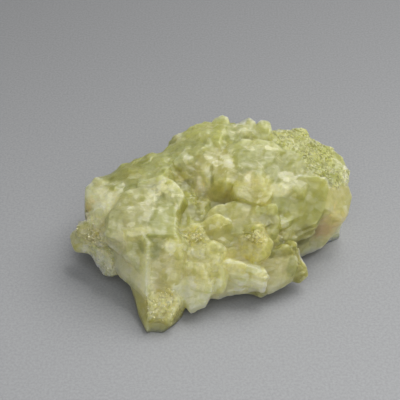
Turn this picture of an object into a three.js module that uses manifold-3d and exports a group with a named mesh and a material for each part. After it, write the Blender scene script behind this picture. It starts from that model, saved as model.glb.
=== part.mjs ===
// Brazilianite crystal cluster: one natural piece of many blocky crystals grown into each other.
// Millimetres, +Z up, standing on z = 0, centred on the middle of its footprint.
// X runs along the length, the long slope with the prong faces -Y.

import * as THREE from 'three';
import { ConvexGeometry } from 'three/addons/geometries/ConvexGeometry.js';
import { mergeVertices } from 'three/addons/utils/BufferGeometryUtils.js';
import Module from 'manifold-3d';

const RIM = 1.0; // height of the bevel under the top edge of a crystal
const CROWN = 0.05; // how far a crystal's tip stands over its top, per mm of its half width
const DROOP = 0.08; // how far a top corner may hang under it, per mm of its half width
const SEAT_LOW = -0.6; // lowest a root corner reaches under its seat
const SEAT_SPREAD = 1.6; // how far root corners of one crystal differ in height
const FLOOR_DEPTH = 10; // thickness of the block that cuts the underside flat where it stands
const FLOOR_WIDTH = 80;

// One row a crystal: name, height of the top in its middle, rise of the top per mm east and north,
// [flare of the bevel, how much the root draws in towards the middle, height of the root], and the
// corners of the top in plan. A root below the floor is cut flat and becomes a foot.
const CRYSTALS = [
  // left knob
  ['knob crown', 9.6, [0.75, 0.75], [0.3, 0.62, 1], [
    [-17, -5], [-14.5, -5.5], [-14.5, -3.5], [-17, -2], [-19, -2], [-19.5, -3],
  ]],
  ['knob face', 6.2, [0.9, 2.6], [0, 0.62, 1], [
    [-17.5, -5], [-15.5, -6], [-13, -6.5], [-13, -5], [-17, -4], [-19.5, -3],
  ]],
  ['knob lip', 6.6, [1.4, 0.9], [0, 0.6, 1.5], [
    [-20, -3.5], [-18.5, -4.5], [-18.5, -3], [-19, -1.5], [-20.5, -1.5],
  ]],
  ['knob drop', 5.2, [0.6, 1.4], [0, 0.8, 2], [
    [-16, -5.5], [-15, -6.5], [-14, -6], [-14.5, -5],
  ]],
  // left shoulder
  ['shoulder', 12.1, [0.5, 0.25], [0.25, 0.72, 0.8], [
    [-17, -1.5], [-14, -3.5], [-13, -1], [-14.5, 2], [-16.5, 3.5], [-18, 2.5], [-18, 0.5],
  ]],
  ['shoulder step', 11.2, [0.9, 0.8], [0.9, 0.7, 1], [
    [-17, -2.5], [-14.5, -4.5], [-14.5, -2.5], [-16, -1.5], [-17.5, -1.5],
  ]],
  ['shoulder flank', 8.8, [1.2, 0.2], [0, 0.78, 1], [
    [-18, -1], [-17, -2.5], [-16, 0], [-17, 3], [-18.5, 2.5],
  ]],
  // rear slope, left to right
  ['rear left', 13.2, [0.3, -0.2], [0.7, 0.8, 1], [
    [-15.5, 1.5], [-13.5, 0.5], [-10, 3], [-10.5, 7], [-13, 6], [-16.5, 4],
  ]],
  ['rear middle', 14.4, [0.25, -0.15], [0.9, 0.8, 0.8], [
    [-10.5, 0.5], [-7, 1.5], [-5, 5.5], [-6.5, 8.5], [-10.5, 7],
  ]],
  ['rear right', 15.1, [0.35, -0.1], [0.9, 0.85, 0.8], [
    [-4.5, 4.5], [-2.5, 5.5], [-1, 9], [-3.5, 12], [-5.5, 10.5], [-7, 8.5],
  ]],
  ['rear chip', 13.6, [0.5, -0.4], [0.7, 0.8, 1], [
    [-12, 4.5], [-9, 5.5], [-8.5, 8], [-11, 7.5],
  ]],
  // plateau
  ['plateau left', 12.9, [0.1, 0.35], [0.7, 0.8, 0.8], [
    [-14.5, -4], [-14.5, -6], [-12, -7], [-9.5, -7.5], [-8.5, -4.5], [-8, -1], [-10, 0], [-12.5, -1],
  ]],
  ['plateau right', 12.9, [0, 0.3], [0.15, 0.9, 0.8], [
    [-9, -7.5], [-5, -7.5], [-5, -4.5], [-5.5, -1.5], [-7.5, -0.5], [-9, -2],
  ]],
  ['plateau back', 13.7, [0.1, 0.2], [0.9, 0.8, 0.8], [
    [-12.5, -1], [-8.5, -2], [-7, 0.5], [-8.5, 2.5], [-12.5, 2], [-14, 0.5],
  ]],
  ['white knuckle', 13.9, [0.1, 0.5], [0.2, 0.9, 0.8], [
    [-7.5, -2.5], [-5, -3.5], [-4, -1.5], [-4.5, -0.5], [-6.5, 1], [-8.5, 0],
  ]],
  // front slope down to the prong
  ['slope shelf', 10.1, [0, 1.3], [0.5, 0.85, 0.8], [
    [-12, -8.5], [-10, -10], [-7, -10.5], [-4.5, -9], [-5, -7], [-8.5, -6.5], [-12.5, -6.5],
  ]],
  ['slope face', 7.9, [-0.05, 1.3], [0.5, 0.9, 0.8], [
    [-9.5, -12], [-5, -12], [-4, -10], [-4.5, -8], [-9.5, -8],
  ]],
  ['slope flank', 7.9, [1.6, 1.35], [0, 0.85, 0.8], [
    [-11.5, -10], [-9, -13], [-8.8, -8.6], [-10.3, -6.2], [-14, -5.5], [-13.5, -7.5],
  ]],
  ['prong', 4.3, [-0.1, 0.65], [0, 0.92, -1.2], [
    [-9, -15], [-6, -15], [-4.5, -13], [-5, -11], [-9, -11],
  ]],
  ['prong flank', 3.2, [0.95, 0.95], [0, 0.96, -1.2], [
    [-9, -15.5], [-8.5, -14.5], [-9, -11], [-11.5, -9.5], [-10.5, -12.5],
  ]],
  ['prong tip', 2, [0.2, 3.4], [0, 0.97, -1.2], [
    [-8.5, -15], [-7.5, -15.5], [-6, -14.5], [-6, -14], [-8.5, -14],
  ]],
  // front middle
  ['front knuckle', 4.8, [0.1, 1.3], [0, 0.76, 1.8], [
    [-4, -12], [-3, -13], [-1, -12.5], [0, -11.5], [-1, -10.5], [-3, -10], [-5, -10.5],
  ]],
  ['knuckle ridge', 6.8, [0.2, 1.2], [0.7, 0.8, 0.8], [
    [-2.5, -11], [-0.5, -11.5], [-0.5, -11], [-1.5, -9.5], [-3.5, -9],
  ]],
  ['step upper', 10, [0, 0.7], [1, 0.8, 0.8], [
    [-4.5, -7.5], [-2, -7.5], [-1, -6.5], [-1.5, -4.5], [-5, -5],
  ]],
  ['step middle', 8.8, [0, 0.85], [0.9, 0.8, 0.8], [
    [-2, -9.5], [0, -9.5], [1, -7.5], [0, -7], [-3, -7.5],
  ]],
  ['step lower', 6.6, [0.05, 1.2], [0.9, 0.8, 2], [
    [-1, -11], [1, -11], [1.5, -9.5], [0.5, -8.5], [-1.5, -9],
  ]],
  // cream ledge
  ['ledge top', 6.6, [0, 1.7], [0.3, 0.75, 1], [
    [4, -10], [7, -10.5], [7.5, -9.5], [5.5, -9], [2.5, -8.5], [1, -9],
  ]],
  ['ledge face', 4.2, [-0.1, 1.1], [0, 0.6, 2], [
    [-0.5, -11], [1.5, -10.5], [3, -10], [6.5, -10], [7.5, -9.5], [4, -9], [1.5, -9],
  ]],
  ['ledge foot', 3.2, [-0.15, 1.6], [0, 0.6, 2], [
    [3.5, -9.5], [5, -9.5], [7, -9.5], [8.5, -9], [7.5, -8.5],
  ]],
  // front right block
  ['front right', 5.9, [-0.45, 1.8], [0, 0.66, 2], [
    [7, -8], [7, -9], [8, -9.5], [11.5, -8], [12.3, -7], [11.7, -6.2], [10.7, -5.9], [8.5, -6.8],
  ]],
  ['front cheek', 5.6, [-1, 1.7], [0, 0.92, 2], [
    [10.8, -7.8], [12.6, -7.4], [13.7, -6.6], [13.2, -5.9], [11.8, -5], [11.2, -5.4],
  ]],
  ['hollow', 7.6, [-0.05, 0.6], [0.8, 0.8, 1], [
    [2.5, -7.5], [5.5, -8.5], [7, -7.5], [5.5, -6.5], [3.5, -5], [1, -6],
  ]],
  // pocket
  ['pocket floor', 10.1, [-0.1, 0], [0.8, 0.9, 0.8], [
    [-5, 0], [-4, -4.5], [-1, -4], [3, -1.5], [5.5, 1.5], [3, 4.5], [0, 5], [-3.5, 3.5],
  ]],
  ['pocket lump', 11, [-0.15, 0.1], [0.7, 0.9, 0.8], [
    [-3.5, -1], [-1.5, -2], [-0.5, 0.5], [-1, 3], [-3.5, 2],
  ]],
  ['pocket back', 13.2, [-0.25, 1.4], [1, 0.9, 0.8], [
    [-5.5, 3], [-4.5, 2], [-2.5, 2.5], [0, 3], [0.5, 4.5], [-2.5, 4.5],
  ]],
  // centre block
  ['centre top', 11, [0.05, 0.45], [0.35, 0.85, 0.8], [
    [1.5, -5.5], [4, -5.5], [7, -5], [8.5, -4], [7, -2], [3.5, -1], [0.5, -1.5], [-1, -3],
  ]],
  ['centre nose', 9.5, [0.05, 1], [0.7, 0.9, 0.8], [
    [4.6, -7], [6, -7.6], [7.4, -6.9], [7.9, -6], [7.2, -4.4], [4.4, -4.4], [3.9, -6],
  ]],
  ['centre fin', 10.4, [-0.1, 1.3], [0.3, 0.92, 0.8], [
    [2, -6.8], [3.6, -6], [2.8, -4.2], [0.5, -3.8], [-1.6, -4.6], [-0.6, -6],
  ]],
  ['centre right', 10.7, [-0.2, 0.65], [0.4, 0.85, 0.8], [
    [6.5, -5], [7.5, -5.8], [8.8, -4.8], [9.6, -3.2], [9, -1.5], [6, -2],
  ]],
  // right lobe
  ['lobe brow', 13.2, [-0.1, 0.5], [0.15, 0.9, 0.8], [
    [3.5, -0.5], [5.5, -1.5], [7.5, -1.5], [9, 0.5], [7, 2.5], [4, 2], [3, 0.5],
  ]],
  ['lobe face', 11.5, [-0.25, 0.95], [0, 0.7, 2], [
    [9.5, -2.5], [12, -3.4], [15, -2.2], [16.2, -0.5], [17, 2], [16.5, 2.8], [12, 2.5], [8.5, 1],
  ]],
  ['lobe lip', 8.4, [-0.35, 0.9], [0, 0.6, 2], [
    [8.4, -5.8], [10.9, -4.7], [13.1, -3.4], [15, -2.2], [13, -1.5], [9.5, -3],
  ]],
  ['lobe top', 14, [-0.2, 0.5], [0.9, 0.9, 0.8], [
    [4.5, 1.5], [7, 0], [11, 0.5], [16, 2], [14.5, 4.5], [11.5, 6.5], [7, 5],
  ]],
  ['lobe bump', 13.5, [-0.1, 0.45], [0.9, 0.9, 0.8], [
    [10, 0.5], [12.5, 0.5], [13.5, 1.5], [11.5, 2.5], [9.5, 2],
  ]],
  ['lobe recess', 8, [0, 0.6], [0.3, 1.06, 1.8], [
    [11, -2], [14, -0.8], [17, 1.5], [17.5, 4], [12.5, 3],
  ]],
  ['lobe foot', 6, [-0.3, 0.3], [0, 1, -1.2], [
    [13, 0], [17.5, 2.5], [18, 6], [12, 7],
  ]],
  // right rim
  ['rim strip', 11.9, [-0.5, 0.45], [0, 0.86, 0.8], [
    [16.5, 4], [17.5, 2.5], [20, 4.5], [20.5, 6], [19.5, 7],
  ]],
  ['rim face', 9.6, [-1.2, 0.9], [0, 0.86, 2], [
    [16.5, -0.5], [19, 0], [20, 1.5], [20.5, 3.5], [20, 4.5], [16.5, 2],
  ]],
  ['rim foot', 5.5, [-0.8, 0.4], [0, 0.97, -1.2], [
    [16.5, 3], [18.5, 3], [20, 4], [20, 7], [17, 7],
  ]],
  // top
  ['saddle left', 15.1, [0.1, 0.5], [0.5, 0.9, 0.8], [
    [0.5, 1.6], [3.5, 1], [4, 4], [2, 6], [-1, 6], [-3, 4.5],
  ]],
  ['saddle right', 15.9, [-0.05, 0.35], [1, 0.9, 0.8], [
    [4, 3], [7, 3], [10.5, 6], [8.5, 7.2], [4.5, 7.3], [2, 6],
  ]],
  ['fold', 16, [0.1, 0.3], [0.9, 0.9, 0.8], [
    [-5, 4.5], [-3.5, 4], [-1.5, 5.5], [-1.5, 7], [-3.5, 6.5],
  ]],
  ['small fin', 16.5, [-0.15, 0.35], [0.3, 0.9, 0.8], [
    [-1.5, 5.5], [0.5, 6], [-0.5, 8],
  ]],
  // crest
  ['crest left', 16.1, [0.25, -0.1], [0.9, 0.85, 0.8], [
    [-1.5, 8], [1, 6.5], [2, 10], [-1, 12.5], [-3, 12], [-4.5, 10.5],
  ]],
  ['crest knob', 16.75, [0.1, 0.45], [0, 0.92, 0.8], [
    [0.2, 11.5], [0.6, 10.4], [2.2, 10.2], [2.6, 11.6], [1.6, 12.4],
  ]],
  ['crest middle', 16.6, [0, 0.05], [0.9, 0.9, 0.8], [
    [1.5, 8], [3, 7], [4, 9], [3.5, 11.5], [2, 11],
  ]],
  ['crest block', 16.8, [0, 0.2], [0, 0.92, 0.8], [
    [3.2, 10.6], [4.4, 8.5], [6.2, 9.8], [6.6, 11], [5.4, 12],
  ]],
  ['crest blade', 16.3, [0, 0.15], [0.3, 0.9, 0.8], [
    [5.5, 9.3], [7, 8.4], [8.3, 8.7], [8.4, 10.6], [6.5, 11.2], [5, 10.6],
  ]],
  ['crest right', 16.7, [0, 0.2], [0, 0.92, 0.8], [
    [6.8, 9.7], [8.7, 9.5], [8.8, 10.6], [8.6, 11.6], [7, 11.5],
  ]],
  ['crest grains', 15.7, [-0.1, 0], [0.3, 0.9, 0.8], [
    [8.5, 8], [10, 7.5], [12, 10], [11.5, 11.5], [10, 11.5], [9, 10.5],
  ]],
  ['right crest', 15.1, [-0.3, 0], [0.3, 0.9, 0.8], [
    [10.5, 6.5], [13, 6], [15, 9.5], [14, 12], [12.5, 12], [11, 11],
  ]],
  ['right grains', 13.8, [-0.35, 0.1], [0.3, 0.9, 0.8], [
    [13.5, 4.5], [15.5, 3.5], [18, 6], [18, 9.5], [16, 10.5], [13.5, 10.5],
  ]],
  ['right shoulder', 12.7, [-0.4, 0.15], [0.2, 0.86, 0.8], [
    [17, 6], [18.5, 4.5], [20, 6.5], [19.5, 8.5], [18.5, 9], [17, 9.5],
  ]],
  // back
  ['back left', 9.5, [0.1, -0.5], [0.9, 0.85, 0.8], [
    [-16, 4], [-9, 5], [-5, 9], [-6, 11], [-10.5, 10], [-16, 7],
  ]],
  ['back ramp', 11.5, [0.3, -0.9], [0.9, 0.85, 0.8], [
    [-9, 6], [-4, 9], [-3, 12], [-6, 11.5], [-9.5, 9],
  ]],
  ['back middle', 10, [0, -0.6], [0.9, 0.85, 0.8], [
    [-3, 9], [4, 10], [7, 12], [5, 14], [0, 14.5], [-4, 12.5],
  ]],
  ['back wedge', 13, [-0.1, -1.1], [0.7, 0.85, 0.8], [
    [2, 11], [7, 11.5], [8, 13], [4.5, 14], [1.5, 13],
  ]],
  ['back right', 9.4, [-0.15, -0.5], [0.9, 0.85, 0.8], [
    [8, 10], [15, 9], [19, 7.5], [18, 11], [13, 14], [8, 14.5],
  ]],
  ['back corner', 11.6, [-0.4, -0.8], [0.7, 0.85, 0.8], [
    [12, 10.5], [16, 9.5], [17.5, 11], [14.5, 13], [12, 13],
  ]],
  ['back step', 5.5, [0.05, -0.3], [0.5, 0.93, -1.2], [
    [-2, 11.5], [6, 11.5], [5, 14.5], [1, 15], [-2.5, 14],
  ]],
  ['back heel', 4.8, [0.2, -0.2], [0.7, 0.93, -1.2], [
    [-14, 5], [-8, 8], [-9, 11], [-14, 9], [-15.5, 7],
  ]],
  ['right flank', 8.4, [-0.9, 0], [0, 0.92, 0.8], [
    [17, 5], [20, 5], [19.5, 8.5], [17, 9.5],
  ]],
  ['right heel', 4.6, [-0.2, -0.2], [0.3, 0.95, 0.8], [
    [14, 8], [18.5, 7.5], [18, 10.5], [13.5, 12],
  ]],
  ['back chip', 7.2, [0.3, -0.8], [0.3, 0.9, 0.8], [
    [-10, 9], [-6, 11], [-5, 12.5], [-8.5, 11.5],
  ]],
  ['back tooth', 7.6, [-0.2, -0.7], [0.3, 0.92, 0.8], [
    [6.5, 12.5], [10, 13], [10.5, 14.5], [7.5, 15],
  ]],
  ['left heel', 5.6, [0.9, 0.1], [0, 0.9, 0.8], [
    [-17.5, 1], [-15.5, 0], [-15, 4], [-17, 5],
  ]],
  ['middle foot', 6, [0, 0], [0, 0.95, -1.2], [
    [-4, -2], [3, -4], [8, 0], [6, 5], [-1, 6], [-5, 3],
  ]],
  // ground mass under the crystals
  ['mass left', 11.2, [0.1, 0.25], [1, 0.75, 1.2], [
    [-17, -3], [-11, -8], [-5, -8.5], [-3, -4], [-4, 5], [-10, 5], [-16.5, 2.5],
  ]],
  ['mass front', 5.4, [-0.1, 0.55], [0, 0.7, 1.2], [
    [-11, -9], [-8.5, -13], [-5, -12.5], [4, -9], [10, -7], [9, -4], [-4, -4], [-12, -6],
  ]],
  ['mass back', 12.6, [0, -0.35], [0.4, 0.9, 1.2], [
    [-6, 9.5], [-2, 12.5], [8, 12.5], [14, 11.5], [17, 8], [8, 8], [-2, 8],
  ]],
  ['mass middle', 9.5, [0, 0.2], [1, 0.75, 1.2], [
    [-6, -6], [2, -7], [9, -5], [9, 3], [4, 6], [-4, 4],
  ]],
  ['mass right', 12, [-0.1, 0.25], [0.3, 0.76, 1.2], [
    [3, -0.5], [10, -3.5], [17, 0.5], [19, 5], [18, 9], [12, 11], [6, 8],
  ]],
  ['mass top', 14.8, [0.05, 0.15], [1, 0.9, 1.2], [
    [-6, 5], [-2, 3.5], [4, 3], [9, 5.5], [9, 11], [2, 12], [-5, 11],
  ]],
];

// A repeatable number from 0 to 1 for corner k of crystal n.
function spread(k, n) {
  const s = Math.sin(k * 78.233 + n * 12.9898) * 43758.5453;
  return s - Math.floor(s);
}

// The corners of one crystal: top, tip, bevel under the top edge, and root.
function crystalCorners(row, n) {
  const [, top, [east, north], [flare, draw, seat], corners] = row;
  const mx = corners.reduce((sum, c) => sum + c[0], 0) / corners.length;
  const my = corners.reduce((sum, c) => sum + c[1], 0) / corners.length;
  const reach = corners.map(([x, y]) => Math.hypot(x - mx, y - my));
  const half = reach.reduce((sum, r) => sum + r, 0) / reach.length;
  const height = (x, y) => top + east * (x - mx) + north * (y - my);
  const points = [];
  corners.forEach(([x, y], k) => {
    const z = height(x, y) - DROOP * half * spread(k, n);
    const out = (flare * RIM) / reach[k];
    const bevel = RIM * (0.7 + 0.6 * spread(k + 20, n));
    points.push(new THREE.Vector3(x, y, z));
    points.push(new THREE.Vector3(x + (x - mx) * out, y + (y - my) * out, z - bevel));
    points.push(new THREE.Vector3(x * draw, y * draw, seat + SEAT_LOW + SEAT_SPREAD * spread(k + 40, n)));
  });
  const turn = 2 * Math.PI * spread(60, n);
  const tx = mx + 0.3 * half * Math.cos(turn);
  const ty = my + 0.3 * half * Math.sin(turn);
  points.push(new THREE.Vector3(tx, ty, height(tx, ty) + CROWN * half));
  return points;
}

const wasm = await Module();
wasm.setup();

// A closed geometry as a solid that can be joined and cut.
function solid(geometry) {
  geometry.deleteAttribute('normal');
  geometry.deleteAttribute('uv');
  const merged = mergeVertices(geometry, 1e-5);
  return new wasm.Manifold(new wasm.Mesh({
    numProp: 3,
    vertProperties: Float32Array.from(merged.attributes.position.array),
    triVerts: Uint32Array.from(merged.index.array),
  }));
}

let cluster = solid(new ConvexGeometry(crystalCorners(CRYSTALS[0], 0)));
CRYSTALS.slice(1).forEach((row, n) => {
  cluster = cluster.add(solid(new ConvexGeometry(crystalCorners(row, n + 1))));
});

const floor = new THREE.BoxGeometry(FLOOR_WIDTH, FLOOR_WIDTH, FLOOR_DEPTH);
floor.translate(0, 0, -FLOOR_DEPTH / 2);
cluster = cluster.subtract(solid(floor));

const mesh = cluster.getMesh();
const geometry = new THREE.BufferGeometry();
geometry.setAttribute('position', new THREE.BufferAttribute(Float32Array.from(mesh.vertProperties), 3));
geometry.setIndex(new THREE.BufferAttribute(Uint32Array.from(mesh.triVerts), 1));

// stand on z = 0, footprint centred on the origin
geometry.computeBoundingBox();
const { min, max } = geometry.boundingBox;
geometry.translate(-(min.x + max.x) / 2, -(min.y + max.y) / 2, -min.z);

const stone = new THREE.MeshStandardMaterial({ color: 0xb7b57c, roughness: 0.45, metalness: 0 });
const part = new THREE.Mesh(geometry, stone);
part.name = 'brazilianite_cluster';

const group = new THREE.Group();
group.add(part);

export default group;
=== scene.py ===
"""Brazilianite crystal cluster: one cloudy yellow-green stone on a plain pale floor.

The stone is one closed sheet of six square grids. Every point runs out along its own ray until it leaves
the last of the blocky crystals that the stone is grown from, and is drawn onto their edges. Valleys are
partly filled, and splinters of broken crystal are raised. A second piece is the small crystals that stand on
the grainy places. Lengths in the tables are millimetres.
"""

import itertools
import math

import bpy
import numpy as np
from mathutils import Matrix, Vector


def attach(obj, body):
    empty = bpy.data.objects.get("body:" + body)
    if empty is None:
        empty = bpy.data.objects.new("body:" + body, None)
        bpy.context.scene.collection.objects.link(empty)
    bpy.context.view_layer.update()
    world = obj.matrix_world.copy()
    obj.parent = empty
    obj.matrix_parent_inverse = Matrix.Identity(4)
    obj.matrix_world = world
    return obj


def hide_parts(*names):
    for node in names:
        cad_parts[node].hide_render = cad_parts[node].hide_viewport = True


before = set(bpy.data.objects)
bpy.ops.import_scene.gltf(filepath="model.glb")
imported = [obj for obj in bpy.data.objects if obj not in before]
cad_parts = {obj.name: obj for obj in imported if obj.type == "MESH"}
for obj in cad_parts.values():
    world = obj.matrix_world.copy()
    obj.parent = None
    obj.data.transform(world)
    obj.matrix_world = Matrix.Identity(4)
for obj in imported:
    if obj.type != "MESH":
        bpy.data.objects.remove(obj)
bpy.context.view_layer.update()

MM = 0.001
NODE = "brazilianite_cluster"

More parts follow.
